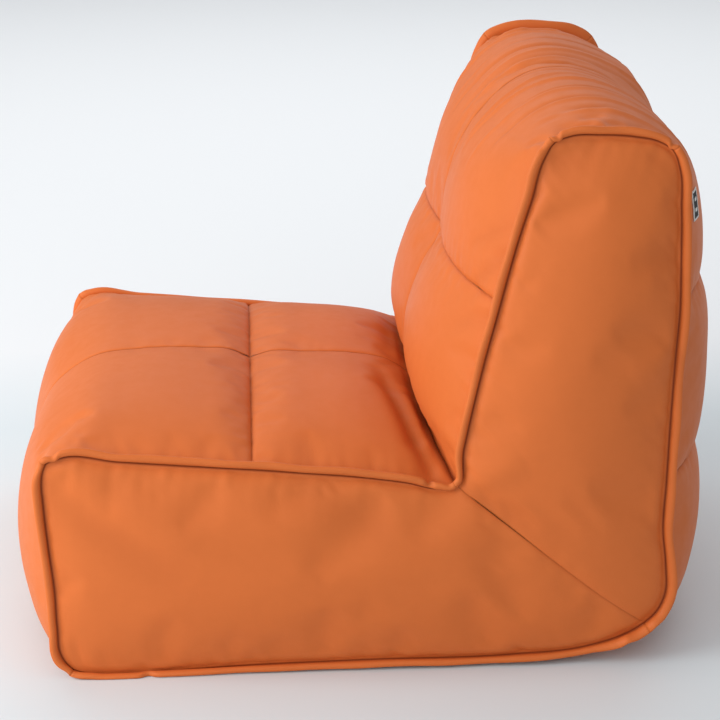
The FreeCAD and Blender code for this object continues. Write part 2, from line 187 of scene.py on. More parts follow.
def stretch_normals():
    """The centre outline's normals at the points of each stretch."""
    ring = np.concatenate([CENTRE_LINES[name][:-1] for name in CENTRE])
    normals = closed_normals(ring)
    result, place = {}, 0
    for name in CENTRE:
        result[name] = normals[np.arange(place, place + CELLS[name] + 1) % len(ring)]
        place += CELLS[name]
    return result


# ---------------- the patches
CENTRE_NORMALS = stretch_normals()
EDGE_POWER = 0.9  # how the swelling falls to a side seam


def band_patch(side, names):
    """A panel of the band from the centre seam to a side seam, as a grid of points."""
    def joined(lines):
        return np.concatenate([lines[n] if i == 0 else lines[n][1:] for i, n in enumerate(names)])

    centre, edge, normal = joined(CENTRE_LINES), joined(EDGE_LINES), joined(CENTRE_NORMALS)
    plump = joined({name: eased(PLUMP, name) for name in names})
    if side < 0:
        plump = plump + joined({name: eased(RIGHT_EXTRA, name) for name in names})
    gentle = joined({name: eased(GENTLE, name) for name in names})
    t = np.linspace(0, 1, ACROSS + 1)[None, :, None]
    drop = (edge - centre)[:, None] * t ** SHOULDER
    grid = np.empty((len(edge), ACROSS + 1, 3))
    power = np.where(t < 0.5, gentle[:, None, None], EDGE_POWER)
    puff = (normal * plump[:, None])[:, None] * swell(t, power)
    grid[:, :, 1:] = centre[:, None] + drop + puff
    grid[:, :, 0] = side * SEAM_X * t[:, :, 0]
    return grid


def coons(bottom, top, left, right):
    """A grid between four border lines; bottom and top run along rows, left and right up."""
    u = np.linspace(0, 1, len(bottom))[:, None, None]
    v = np.linspace(0, 1, len(left))[None, :, None]
    ruled = (1 - v) * bottom[:, None] + v * top[:, None] + (1 - u) * left[None] + u * right[None]
    corners = ((1 - u) * (1 - v) * bottom[0] + u * (1 - v) * bottom[-1]
               + (1 - u) * v * top[0] + u * v * top[-1])
    return ruled - corners


# The side panel's share of the CAD's bulge, where along its length it is fullest, how much the
# mitre seam holds it back, and how quickly it rises from its seams.
SIDE_SHARE, FULLEST, HELD_BACK, SIDE_RISE = 0.84, 0.45, 0.34, 0.55


def side_patches(side):
    """The seat piece and the back piece of a side panel, which meet along the mitre seam."""
    line = EDGE_LINES
    crease, heel = line["backrest_low"][0], line["base"][0]
    mitre_fine = hermite([heel, *MITRE[::-1], crease], np.linspace(0, len(MITRE) + 1, 161))
    mitre = evenly(mitre_fine, CELLS["front"])
    base = line["base"][::-1]
    seat = np.concatenate([line["seat_front"], line["seat_rear"][1:]])
    rise = np.concatenate([line["backrest_low"], line["backrest_high"][1:]])
    rear = np.concatenate([line["rear_high"], line["rear_mid"][1:], line["rear_low"][1:]])[::-1]
    seat_grid = coons(base, seat, line["front"], mitre)
    back_grid = coons(rise, rear, mitre[::-1], line["top"])
    patches = {}
    for name, flat in (("side_seat", seat_grid), ("side_back", back_grid)):
        along = np.linspace(0, 1, flat.shape[0])[:, None]
        if name == "side_back":
            along = 1 - along
        across = np.linspace(0, 1, flat.shape[1])[None, :]
        beyond = (along - FULLEST) / (1 - FULLEST)
        rising = swell(along / (2 * FULLEST), SIDE_RISE)
        fullness = np.where(along < FULLEST, rising, 1 - HELD_BACK * beyond ** 2)
        height = SIDE_SHARE * SIDE_BULGE * fullness * swell(across, SIDE_RISE)
        grid = np.empty((*flat.shape[:2], 3))
        grid[:, :, 1:] = flat
        grid[:, :, 0] = side * (SEAM_X + height)
        patches[name] = grid
    return patches


patches = {}
for side_name, side in SIDES:
    for panel, names in BAND_PANELS.items():
        patches[f"{side_name}_{panel}"] = band_patch(side, names)
    for panel, grid in side_patches(side).items():
        patches[f"{side_name}_{panel}"] = grid


# ---------------- one skin, inflated as cloth
BACKREST_Z = 0.36  # above this only the backrest is left
BACKREST_Y, SEAT_Z = 0.27, 0.15  # the middles of the backrest and the seat
WELD_GRID = 1e4  # welded points agree to a ten-thousandth of a metre
FRAMES, MOST_MOVED = 16, 0.006  # how long the cloth runs, and how far it may move
CLOTH = {
    "quality": 6, "mass": 0.25, "tension_stiffness": 40, "compression_stiffness": 40,
    "shear_stiffness": 20, "bending_stiffness": 3.0, "tension_damping": 8,
    "compression_damping": 8, "shear_damping": 8, "vertex_group_mass": "held",
    "shrink_min": -0.0035, "use_pressure": True, "uniform_pressure_force": 0.8,
}


def grid_index(rows, columns):
    return np.arange(rows * columns).reshape(rows, columns)


def grid_faces(index):
    a, b = index[:-1, :-1].ravel(), index[1:, :-1].ravel()
    c, d = index[1:, 1:].ravel(), index[:-1, 1:].ravel()
    return np.stack([a, b, c, d], axis=1)


def outward_sign(grid):
    """1 if the grid's own faces look out of the chair, else -1."""
    middle = grid[grid.shape[0] // 2, grid.shape[1] // 2]
    along = grid[grid.shape[0] // 2 + 1, grid.shape[1] // 2] - middle
    across = grid[grid.shape[0] // 2, grid.shape[1] // 2 + 1] - middle
    inside = np.array([0, middle[1], middle[2]])
    if abs(middle[0]) <= SEAM_X:
        if middle[2] > BACKREST_Z:
            inside[1] = BACKREST_Y
        else:
            inside[2] = SEAT_Z
    return 1 if np.dot(np.cross(along, across), middle - inside) > 0 else -1


def weld(grids):
    """Shared point numbers for grids that meet: {name: indices}, points, faces."""
    seen, points, numbers, faces = {}, [], {}, []
    for name, grid in grids.items():
        flat = grid.reshape(-1, 3)
        index = np.empty(len(flat), int)
        for i, p in enumerate(flat):
            key = tuple(np.round(p * WELD_GRID).astype(int))
            if key not in seen:
                seen[key] = len(points)
                points.append(p)
            index[i] = seen[key]
        numbers[name] = index.reshape(grid.shape[:2])
        quads = grid_faces(numbers[name])
        faces.append(quads if outward_sign(grid) > 0 else quads[:, ::-1])
    return numbers, np.array(points), np.concatenate(faces)


def make_mesh(name, points, faces):
    mesh = bpy.data.meshes.new(name)
    mesh.from_pydata([tuple(p) for p in points], [], [tuple(f) for f in faces])
    mesh.validate()
    mesh.update()
    return mesh


def make_object(name, points, faces, smooth=True):
    mesh = make_mesh(name, points, faces)
    obj = bpy.data.objects.new(name, mesh)
    bpy.context.scene.collection.objects.link(obj)
    if smooth:
        mesh.polygons.foreach_set("use_smooth", np.ones(len(mesh.polygons), bool))
    return obj


def read_vectors(items, field):
    flat = np.empty(len(items) * 3)
    items.foreach_get(field, flat)
    return flat.reshape(-1, 3)


def held_points(numbers):
    """The skin's points on seams, on the floor and along the divider."""
    held = set()
    for name, index in numbers.items():
        borders = (index[0], index[-1], index[:, 0], index[:, -1])
        for points in (index,) if name.endswith("_base") else borders:
            held.update(points.ravel().tolist())
    return sorted(held)


numbers, skin_points, skin_faces = weld(patches)


def inflate(points, faces, held):
    """Runs the skin as pressurised cloth with its seams held, and caps how far it moves."""
    skin = make_object("skin", points, faces)
    group = skin.vertex_groups.new(name="held")
    group.add(held, 1.0, "REPLACE")
    cloth = skin.modifiers.new("Cloth", "CLOTH")
    for key, value in CLOTH.items():
        setattr(cloth.settings, key, value)
    cloth.settings.effector_weights.gravity = 0
    cloth.collision_settings.use_collision = False
    cloth.collision_settings.use_self_collision = False
    scene = bpy.context.scene
    for number in range(1, FRAMES + 1):
        scene.frame_set(number)
    graph = bpy.context.evaluated_depsgraph_get()
    moved = read_vectors(skin.evaluated_get(graph).to_mesh().vertices, "co")
    scene.frame_set(1)
    bpy.data.objects.remove(skin)
    shift = moved - points
    length = np.linalg.norm(shift, axis=1, keepdims=True)
    return points + shift * np.minimum(1, MOST_MOVED / np.maximum(length, 1e-9))


skin_points = inflate(skin_points, skin_faces, held_points(numbers))

skin_mesh = make_mesh("skin_rest", skin_points, skin_faces)
skin_normals = read_vectors(skin_mesh.vertex_normals, "vector")
bpy.data.meshes.remove(skin_mesh)


# ---------------- materials
def new_material(name):
    material = bpy.data.materials.new(name)
    material.use_nodes = True
    tree = material.node_tree
    tree.nodes.clear()
    output = tree.nodes.new("ShaderNodeOutputMaterial")
    shader = tree.nodes.new("ShaderNodeBsdfPrincipled")
    tree.links.new(shader.outputs[0], output.inputs[0])
    return material, tree, shader


def fill(tree, node, inputs):
    """Links or sets a node's inputs."""
    for key, value in inputs.items():
        if isinstance(value, bpy.types.NodeSocket):
            tree.links.new(value, node.inputs[key])
        else:
            node.inputs[key].default_value = value


def add(tree, kind, inputs=None, **settings):
    node = tree.nodes.new(kind)
    for key, value in settings.items():
        setattr(node, key, value)
    fill(tree, node, inputs or {})
    return node


def mix_colour(tree, factor, first, second, mode="MIX"):
    inputs = {0: factor, 6: first, 7: second}
    return add(tree, "ShaderNodeMix", inputs, data_type="RGBA", blend_type=mode).outputs[2]


def object_place(tree):
    return add(tree, "ShaderNodeTexCoord").outputs["Object"]


def noise(tree, place, scale, detail):
    return add(tree, "ShaderNodeTexNoise", {"Vector": place, "Scale": scale, "Detail": detail})


def ramp(tree, value, low, high, first, last):
    """A value between low and high, mapped to between first and last."""
    return add(tree, "ShaderNodeMapRange", {0: value, 1: low, 2: high, 3: first, 4: last}).outputs[0]


def maths(tree, how, first, second):
    return add(tree, "ShaderNodeMath", {0: first, 1: second}, operation=how).outputs[0]


def bump(tree, height, strength, distance, **settings):
    inputs = {"Height": height, "Strength": strength, "Distance": distance}
    return add(tree, "ShaderNodeBump", inputs, **settings)


def darker(colour, share):
    return tuple(c * share for c in colour[:3]) + (1,)


def leather_material(name, colour, shade_colour, grain=1.0):
    """Smooth coated fabric: a soft sheen, a fine pebble grain, slightly uneven dye and painted shade
    along seams and in fold valleys.
    """
    material, tree, shader = new_material(name)
    place = object_place(tree)
    broad = noise(tree, place, 5.0, 3.0).outputs[0]
    fine = noise(tree, place, 60.0, 4.0).outputs[0]
    base = mix_colour(tree, ramp(tree, broad, 0.35, 0.65, 0.0, 1.0), darker(colour, .955), colour)
    base = mix_colour(tree, ramp(tree, fine, 0.3, 0.7, 0.0, 0.10), base, darker(colour, .8))
    painted_shade = add(tree, "ShaderNodeAttribute", attribute_name="painted_shade", attribute_type="GEOMETRY")
    pebble = add(tree, "ShaderNodeTexVoronoi", {"Vector": place, "Scale": 900.0}, feature="F1")
    pores = noise(tree, place, 420.0, 3.0).outputs[0]
    first = bump(tree, pebble.outputs["Distance"], 0.05 * grain, 0.0004)
    second = bump(tree, pores, 0.06 * grain, 0.0006)
    fill(tree, second, {"Normal": first.outputs[0]})
    # Painted shade: a stored per-point share mixes the dark shade colour in along seams and in fold
    # valleys.
    fill(tree, shader, {
        "Base Color": mix_colour(tree, painted_shade.outputs["Fac"], base, shade_colour),
        "Roughness": ramp(tree, fine, 0.3, 0.7, 0.46, 0.54),
        "Normal": second.outputs[0],
        "Specular IOR Level": 0.16,
    })
    return material


def cloth_material(name, colour, scale):
    """A plain weave of warp and weft, with threads of slightly different shades."""
    material, tree, shader = new_material(name)
    place = object_place(tree)
    waves = []
    for axis in ("X", "Y"):
        wave = add(tree, "ShaderNodeTexWave", {"Vector": place, "Scale": scale, "Distortion": 0.4},
                   wave_type="BANDS", bands_direction=axis)
        waves.append(wave.outputs["Fac"])
    weave = maths(tree, "MULTIPLY", *waves)
    spread = noise(tree, place, 80.0, 3.0).outputs["Color"]
    base = mix_colour(tree, weave, darker(colour, .62), colour)
    fill(tree, shader, {
        "Base Color": mix_colour(tree, 0.15, base, spread, "SOFT_LIGHT"),
        "Normal": bump(tree, weave, 0.35, 0.0004).outputs[0],
        "Roughness": 0.85,
        "Sheen Weight": 0.2,
    })
    return material


def bead_material(name):
    """Packed foam beads, a few millimetres across."""
    material, tree, shader = new_material(name)
    place = object_place(tree)
    beads = add(tree, "ShaderNodeTexVoronoi", {"Vector": place, "Scale": 260.0}, feature="F1")
    edge = beads.outputs["Distance"]
    # Painted shade: each bead darkens towards its rim, where it meets its neighbours.
    tone = ramp(tree, edge, 0.0, 0.6, 0.0, 1.0)
    fill(tree, shader, {
        "Base Color": mix_colour(tree, tone, (.93, .93, .91, 1), (.62, .62, .60, 1)),
        "Normal": bump(tree, edge, 0.6, 0.002, invert=True).outputs[0],
        "Roughness": 0.7,
    })
    return material


def hard_material(name, colour, metallic, roughness, scratch_scale):
    """Zip metal or nylon, with fine scratches in its gloss."""
    material, tree, shader = new_material(name)
    scratches = noise(tree, object_place(tree), scratch_scale, 5.0).outputs[0]
    tone = ramp(tree, scratches, 0.35, 0.75, 0.0, 0.35)
    fill(tree, shader, {
        "Base Color": mix_colour(tree, tone, colour, darker(colour, .6)),
        "Roughness": ramp(tree, scratches, 0.3, 0.7, *roughness),
        "Normal": bump(tree, scratches, 0.08, 0.0002).outputs[0],
        "Metallic": metallic,
    })
    return material


ORANGE = (0.665, 0.158, 0.036, 1)
# The dark colour painted into seams and fold valleys as shade.
PAINTED_SHADE_COLOUR = (0.19, 0.026, 0.003, 1)
LEATHER = leather_material("cover_leather", ORANGE, PAINTED_SHADE_COLOUR)
SEAM_LEATHER = leather_material("seam_leather", ORANGE, PAINTED_SHADE_COLOUR, 0.8)
LINER = cloth_material("liner_fabric", (.80, .79, .76, 1), 900.0)
TAPE = cloth_material("zip_tape_weave", (.055, .035, .025, 1), 1400.0)
BEADS = bead_material("foam_beads")
NYLON = hard_material("zip_nylon", (.045, .03, .022, 1), 0.0, (.35, .5), 300.0)
METAL = hard_material("zip_metal", (.50, .47, .43, 1), 1.0, (.22, .38), 700.0)


# ---------------- panels
# Each panel has extra rows and columns of points at these distances from its seams.
NEAR_SEAM = np.array([0.0, .0009, .0020, .0034, .0052, .0075])


def fine_steps(cells, cell, parts):
    """Grid places along one way: close together near seams, else parts to a cell."""
    near = NEAR_SEAM / cell
    clear = near[-1] + 0.25
    steps = np.linspace(0, cells, cells * parts + 1)
    steps = steps[(steps > clear) & (steps < cells - clear)]
    return np.concatenate([near, steps, cells - near[::-1]])


def resample(grid, rows, columns):
    """The grid at fractional rows and columns, by smooth lines both ways."""
    def one_way(block, at):
        base = np.clip(np.floor(at).astype(int), 0, block.shape[0] - 2)
        t = (at - base).reshape(-1, *[1] * (block.ndim - 1))
        pad = np.concatenate([2 * block[:1] - block[1:2], block, 2 * block[-1:] - block[-2:-1]])
        p0, p1, p2, p3 = pad[base], pad[base + 1], pad[base + 2], pad[base + 3]
        return 0.5 * (2 * p1 + (p2 - p0) * t + (2 * p0 - 5 * p1 + 4 * p2 - p3) * t**2
                      + (3 * p1 - p0 - 3 * p2 + p3) * t**3)
    return np.swapaxes(one_way(np.swapaxes(one_way(grid, rows), 0, 1), columns), 0, 1)


def lip(distance, depth, radius):
    """How far a panel turns in beside a seam."""
    return depth * np.exp(-(distance / radius) ** 1.25)


# Depth and radius of the turn at a panel's border, by the kind of seam.
CENTRE_SEAM = (0.0021, 0.0024)
CROSS_SEAM = (0.0040, 0.0042)
MITRE_SEAM = (0.0014, 0.0024)
BAND_EDGE = (0.0040, 0.0042)
SIDE_EDGE = (0.0070, 0.0040)
CREASE = (0.0080, 0.0070)
# How dark and how wide the painted shade along each seam is, and how strongly the cover gathers beside
# it.
SHADES = {CENTRE_SEAM: (.80, .0014, .12), CROSS_SEAM: (.85, .0014, .6), MITRE_SEAM: (.3, .0009, .2),
          BAND_EDGE: (.35, .0016, 1.0), SIDE_EDGE: (1.0, .0026, 1.2), CREASE: (1.0, .0030, .5)}
# How much a fold's valley darkens the cover, at this depth.
VALLEY_SHADE, VALLEY_DEPTH = .20, .0070
SEAM_FACE = 0.0014  # from the side seam's middle plane to the panels beside it
# The seams at the first and last row of each panel of the band.
BAND_ENDS = {
    "base": (CREASE, CROSS_SEAM), "front_seat": (CROSS_SEAM, CROSS_SEAM),
    "rear_seat": (CROSS_SEAM, CREASE), "lower_backrest": (CREASE, CROSS_SEAM),
    "upper_backrest": (CROSS_SEAM, CROSS_SEAM), "rear_middle": (CROSS_SEAM, CROSS_SEAM),
    "rear_lower": (CROSS_SEAM, CREASE),
}
# Each panel's seams: first row, last row, first column, last column.
BORDERS = {panel: (*ends, CENTRE_SEAM, BAND_EDGE) for panel, ends in BAND_ENDS.items()}
BORDERS["side_seat"] = (SIDE_EDGE, MITRE_SEAM, SIDE_EDGE, SIDE_EDGE)
BORDERS["side_back"] = (MITRE_SEAM, SIDE_EDGE, SIDE_EDGE, SIDE_EDGE)
BORDER_NAMES = list(BORDERS)

# Folds that stand up from a panel, or sink where the height is negative: where the fold starts
# and ends (share of the rows, share of the columns), its height and half width.
FOLDS = {
    "left_rear_seat": [
        ((.76, .22), (.90, .99), -.0075, .013), ((.88, .35), (.96, .99), .0030, .010)],
    "right_rear_seat": [((.84, .10), (.90, .80), -.0040, .014)],
    "left_side_back": [
        ((.02, .03), (.22, .30), .0050, .022), ((.02, .05), (.10, .55), -.0030, .020),
        ((.86, .02), (.97, .50), -.0045, .024), ((.72, .62), (.78, .98), -.0040, .020),
        ((.50, .70), (.62, .98), .0030, .024)],
    "left_side_seat": [
        ((.06, .93), (.34, .62), .0042, .024), ((.04, .80), (.30, .48), -.0036, .026),
        ((.55, .97), (.80, .60), -.0025, .026)],
    "left_upper_backrest": [
        ((.02, .80), (.14, .97), -.0030, .010), ((.10, .72), (.20, .97), -.0022, .009)],
    "left_lower_backrest": [((.70, .75), (.90, .96), -.0020, .010)],
    "right_upper_backrest": [((.38, .84), (.74, .80), .0035, .012)],
}
# The backrest's top gathers fore-and-aft wrinkles: their number, depths and half widths.
TOP_WRINKLES = 11
WRINKLE_DEPTH = (.0024, .0050)
WRINKLE_WIDTH = (.0045, .0085)
# The small gathers beside a seam: their depth, how far they run in, and their wavelengths.
PUCKER_DEPTH, PUCKER_LENGTH = 0.0009, 0.022
PUCKER_WAVES = (.019, .027, .041, .063)
FOLD_POINTS = 97  # places along a fold's line


def top_wrinkles(seed):
    """Seeded wrinkles that run over the top of the backrest, between its two faces."""
    generator = np.random.default_rng(seed)
    folds = []
    for number in range(TOP_WRINKLES):
        column = 0.06 + 0.90 * (number + generator.uniform(0, 0.8)) / TOP_WRINKLES
        first, last = generator.uniform(.26, .44), generator.uniform(.60, .86)
        drift = generator.uniform(-.14, .08)
        sign = 1 if number % 2 else -1
        depth = sign * generator.uniform(*WRINKLE_DEPTH)
        width = generator.uniform(*WRINKLE_WIDTH)
        folds.append(((first, column + drift), (last, column), depth, width))
    return folds


for side_name, seed in (("left", 5), ("right", 8)):
    FOLDS[f"{side_name}_upper_backrest"] += top_wrinkles(seed)


def on_grid(grid, i, j):
    """Points of a grid at fractional rows i and columns j."""
    row = np.clip(i.astype(int), 0, grid.shape[0] - 2)
    column = np.clip(j.astype(int), 0, grid.shape[1] - 2)
    down, across = (i - row)[:, None], (j - column)[:, None]
    above = (1 - across) * grid[row, column] + across * grid[row, column + 1]
    below = (1 - across) * grid[row + 1, column] + across * grid[row + 1, column + 1]
    return (1 - down) * above + down * below


def fold_height(name, grid):
    """The summed height of a panel's folds at each point of its grid."""
    height = np.zeros(grid.shape[:2])
    rows, columns = np.array(grid.shape[:2]) - 1
    along = np.linspace(0, 1, FOLD_POINTS)
    for start, end, rise, width in FOLDS.get(name, []):
        i = (start[0] + (end[0] - start[0]) * along) * rows
        j = np.clip(start[1] + (end[1] - start[1]) * along, 0, 1) * columns
        line = on_grid(grid, i, j)
        gap = np.linalg.norm(grid[:, :, None] - line, axis=3)
        nearest = gap.argmin(axis=2)
        fade = np.sin(np.pi * np.clip(along[nearest], 0.02, 0.98)) ** 0.6
        height += rise * fade * np.exp(-(gap.min(axis=2) / width) ** 2)
    return height


def puckers(distance, along, seed):
    """Small gathers that run in from a seam and fade out."""
    generator = np.random.default_rng(seed)
    wave = np.zeros_like(along)
    for length in PUCKER_WAVES:
        wave += np.sin(2 * math.pi * along / length + generator.uniform(0, 6.28))
    return PUCKER_DEPTH * wave / 2 * np.exp(-distance / PUCKER_LENGTH) * np.minimum(distance / .004, 1)


def border_distances(grid):
    """Each point's distance to the grid's four borders, along the grid's lines."""
    rows = np.zeros(grid.shape[:2])
    rows[1:] = np.cumsum(np.linalg.norm(np.diff(grid, axis=0), axis=2), axis=0)
    columns = np.zeros(grid.shape[:2])
    columns[:, 1:] = np.cumsum(np.linalg.norm(np.diff(grid, axis=1), axis=2), axis=1)
    return rows, rows[-1:] - rows, columns, columns[:, -1:] - columns


def paint_shade(obj, values):
    """Stores how much painted shade each point shows, along seams and in fold valleys."""
    attribute = obj.data.attributes.new("painted_shade", "FLOAT", "POINT")
    attribute.data.foreach_set("value", np.ravel(values).astype(np.float32))


def make_panel(side_name, side, panel):
    name = f"{side_name}_{panel}"
    points = skin_points[numbers[name]]
    normals = skin_normals[numbers[name]]
    seams = BORDERS[panel]
    cells = np.array(points.shape[:2]) - 1
    row_cell = np.linalg.norm(np.diff(points, axis=0), axis=2).mean()
    column_cell = np.linalg.norm(np.diff(points, axis=1), axis=2).mean()
    rows = fine_steps(cells[0], row_cell, 2)
    columns = fine_steps(cells[1], column_cell, 4 if panel == "upper_backrest" else 2)
    grid = resample(points, rows, columns)
    normal = resample(normals, rows, columns)
    normal /= np.linalg.norm(normal, axis=2, keepdims=True)
    distances = border_distances(grid)
    turned = np.zeros(grid.shape[:2])
    raised = fold_height(name, grid)
    # Painted shade: the colour darkens in fold valleys and in a narrow line along each seam.
    painted_shade = VALLEY_SHADE * np.clip(-raised / VALLEY_DEPTH, 0, 1)
    seed = 10 * (BORDER_NAMES.index(panel) + 1) + (side > 0)
    for number, (seam, distance) in enumerate(zip(seams, distances)):
        shade, wide, gather = SHADES[seam]
        turned = np.maximum(turned, lip(distance, *seam))
        painted_shade = np.maximum(painted_shade, shade * np.exp(-(distance / wide) ** 2))
        raised += gather * puckers(distance, distances[2 if number < 2 else 0], seed + 40 * number)
    # A side panel turns in straight across, the band turns in within its outline's plane.
    way = normal.copy()
    if panel.startswith("side"):
        way[:] = (side, 0, 0)
    else:
        way[:, :, 0] = 0
        way /= np.linalg.norm(way, axis=2, keepdims=True)
    grid = grid + way * (raised - turned)[:, :, None]
    if panel.startswith("side"):
        grid[:, :, 0] = side * np.maximum(side * grid[:, :, 0], SEAM_X + SEAM_FACE)
    else:
        grid[:, :, 0] = side * np.clip(side * grid[:, :, 0], 0, SEAM_X - SEAM_FACE)
    if panel == "base":
        grid[:, :, 2] = np.maximum(grid[:, :, 2], 0.0)
    faces = grid_faces(grid_index(*grid.shape[:2]))
    if outward_sign(points) < 0:
        faces = faces[:, ::-1]
    if panel == "base":
        grid, faces = open_slot(grid, faces, side)
    obj = make_object(f"{name}_cover", grid.reshape(-1, 3), faces)
    paint_shade(obj, painted_shade)
    obj.data.materials.append(LEATHER)
    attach(obj, "chair")
    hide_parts(f"{name}_panel")
    return grid


def open_slot(grid, faces, side):
    """Opens the base along the zip, with the slot's edge turned up to the tape."""
    x, y, z = side * grid[:, :, 0], grid[:, :, 1], grid[:, :, 2]
    inside = (x < SLOT_HALF_WIDTH) & (np.abs(y) < SLOT_HALF_LENGTH)
    lifted = grid.copy()
    lifted[:, :, 2] = np.where(inside, TAPE_BOTTOM, z)
    drop = inside.ravel()[faces].all(axis=1)
    return lifted, faces[~drop]


panels = {}
for side_name, side in SIDES:
    for panel in [*BAND_PANELS, "side_seat", "side_back"]:
        panels[f"{side_name}_{panel}"] = make_panel(side_name, side, panel)


# ---------------- raised seams
FLANGE_SPANS = {
    "front": ["front"],
    "seat": ["seat_front", "seat_rear"],
    "backrest": ["backrest_low", "backrest_high"],
    "top": ["top"],
    "rear": ["rear_high", "rear_mid", "rear_low"],
    "base": ["base"],
}
FLANGE_REACH = 0.0165
FLOOR_GAP = 0.0006  # from the floor to the strip
DARK_ROOT = 0.20  # the share of the reach that the side panel's seam shades
ROOT_BEND = 0.3  # the share of the reach over which the strip bends to its lean
FLOOR_ROOM = 0.003  # how far above the floor it starts to lie down
# The strip's rounded section: (share of the reach, half thickness).
FLANGE_SECTION = [(-.55, .0011), (.02, .0012), (.13, .0018), (.24, .0031), (.42, .0042),
                  (.62, .0044), (.81, .0037), (.94, .0023), (1.0, .0008)]
# How the strip leans to the side in degrees, and its share of the full reach, at places along
# each stretch of the seam: (share of the stretch, lean, reach). It twists at the corners.
LEANS = {
    "left": {
        "front": [(.03, 24, .8), (.16, 28, .72), (.55, 30, .74), (.88, 28, .78), (.99, 28, .74)],
        "seat_front": [(.08, 26, .78), (.2, 24, .8), (.6, 22, .8)],
        "seat_rear": [(.4, 24, .8), (.8, 28, .82), (.94, 52, .72)],
        "backrest_low": [(.04, 50, .6), (.16, 22, .72), (.6, 22, .76)],
        "backrest_high": [(.3, 22, .78), (.78, 16, .88), (.97, 26, .8)],
        "top": [(.1, 32, .74), (.28, 26, .74), (.85, 24, .74)],
        "rear_high": [(.03, 34, .7), (.18, 24, .78)],
        "rear_mid": [(.1, 22, .8)],
        "rear_low": [(.7, 24, .88), (.96, 46, 1.0)],
        "base": [(.04, 52, 1.0), (.1, 44, .75), (.4, 46, .7), (.8, 46, .7), (.97, 36, .8)],
    },
    "right": {
        "front": [(.02, 34, .85), (.3, 44, .9), (.8, 38, .82)],
        "seat_front": [(.06, 52, .6), (.22, 76, .6), (.5, 84, .65)],
        "seat_rear": [(.8, 84, .7)],
        "backrest_low": [(.05, 76, .7), (.3, 66, .9)],
        "backrest_high": [(.75, 66, .85), (.97, 56, .75)],
        "top": [(.12, 30, .85), (.3, 8, 1.05), (.62, 6, 1.12), (.95, 8, 1.3)],
        "rear_high": [(.12, 12, 1.3), (.5, 18, 1.15)],
        "rear_mid": [(.3, 24, .95)],
        "rear_low": [(.9, 28, .95)],
        "base": [(.04, 50, .9), (.3, 40, .8), (.97, 38, .8)],
    },
}
# Where the strip is pinched into a small fold: (share of the stretch, added lean in degrees,
# share of the reach lost, half length in cells).
PINCHES = {
    "left": {
        "front": [(.02, 26, .25, .8), (.965, -22, .3, .7)],
        "seat_front": [(.05, 26, .35, .6)],
        "seat_rear": [(.86, -26, .45, .6), (.97, 20, .1, .8)],
        "backrest_high": [(.95, -16, .25, .7)],
        "top": [(.04, 22, .35, .6), (.96, 20, .4, .6)],
        "rear_low": [(.95, 18, -.1, .8)],
        "base": [(.04, 22, -.08, .8), (.87, 24, .45, .6)],
    },
    "right": {
        "seat_rear": [(.9, -26, .4, .7)],
        "rear_low": [(.97, -24, .35, .7)],
        "base": [(.05, 24, .1, .8), (.8, 20, .4, .6)],
    },
}
# How much the lean, the sideways place and the reach waver along the seam, and how quickly.
LEAN_WAVER, SIDE_WAVER, REACH_WAVER = (0.07, 11), (0.0006, 16), (0.05, 14)
STEPS = 4  # rows of the strip to a cell of its seam


def waver(count, size, rate, seed):
    """Gentle random waves along a seam, of about this size."""
    generator = np.random.default_rng(seed)
    phases = generator.uniform(0, 2 * math.pi, 5)
    rates = generator.uniform(0.6, 2.2, 5) * rate
    along = np.linspace(0, 1, count)
    return size * np.sin(np.outer(along, rates) * 2 * math.pi + phases).sum(axis=1) / 2.6


def seam_ring():
    """The whole side seam as one closed line, and where each stretch starts."""
    starts, line = {}, []
    for name in EDGE:
        starts[name] = len(line)
        line.extend(EDGE_LINES[name][:-1])
    return np.array(line), starts


def lean_and_reach(side_name, starts, count, at):
    """The strip's lean in radians and its reach, at places along the seam ring."""
    places, leans, shares = [], [], []
    for stretch, rows in LEANS[side_name].items():
        for share, lean, reach in rows:
            places.append(starts[stretch] + share * CELLS[stretch])
            leans.append(math.radians(lean))
            shares.append(reach)
    lean = np.interp(at, places, leans, period=count)
    reach = FLANGE_REACH * np.interp(at, places, shares, period=count)
    for stretch, rows in PINCHES[side_name].items():
        for share, turn, lost, half in rows:
            gap = at - starts[stretch] - share * CELLS[stretch]
            near = np.exp(-(((gap + count / 2) % count - count / 2) / half) ** 2)
            lean = lean + math.radians(turn) * near
            reach = reach * (1 - lost * near)
    return lean, reach


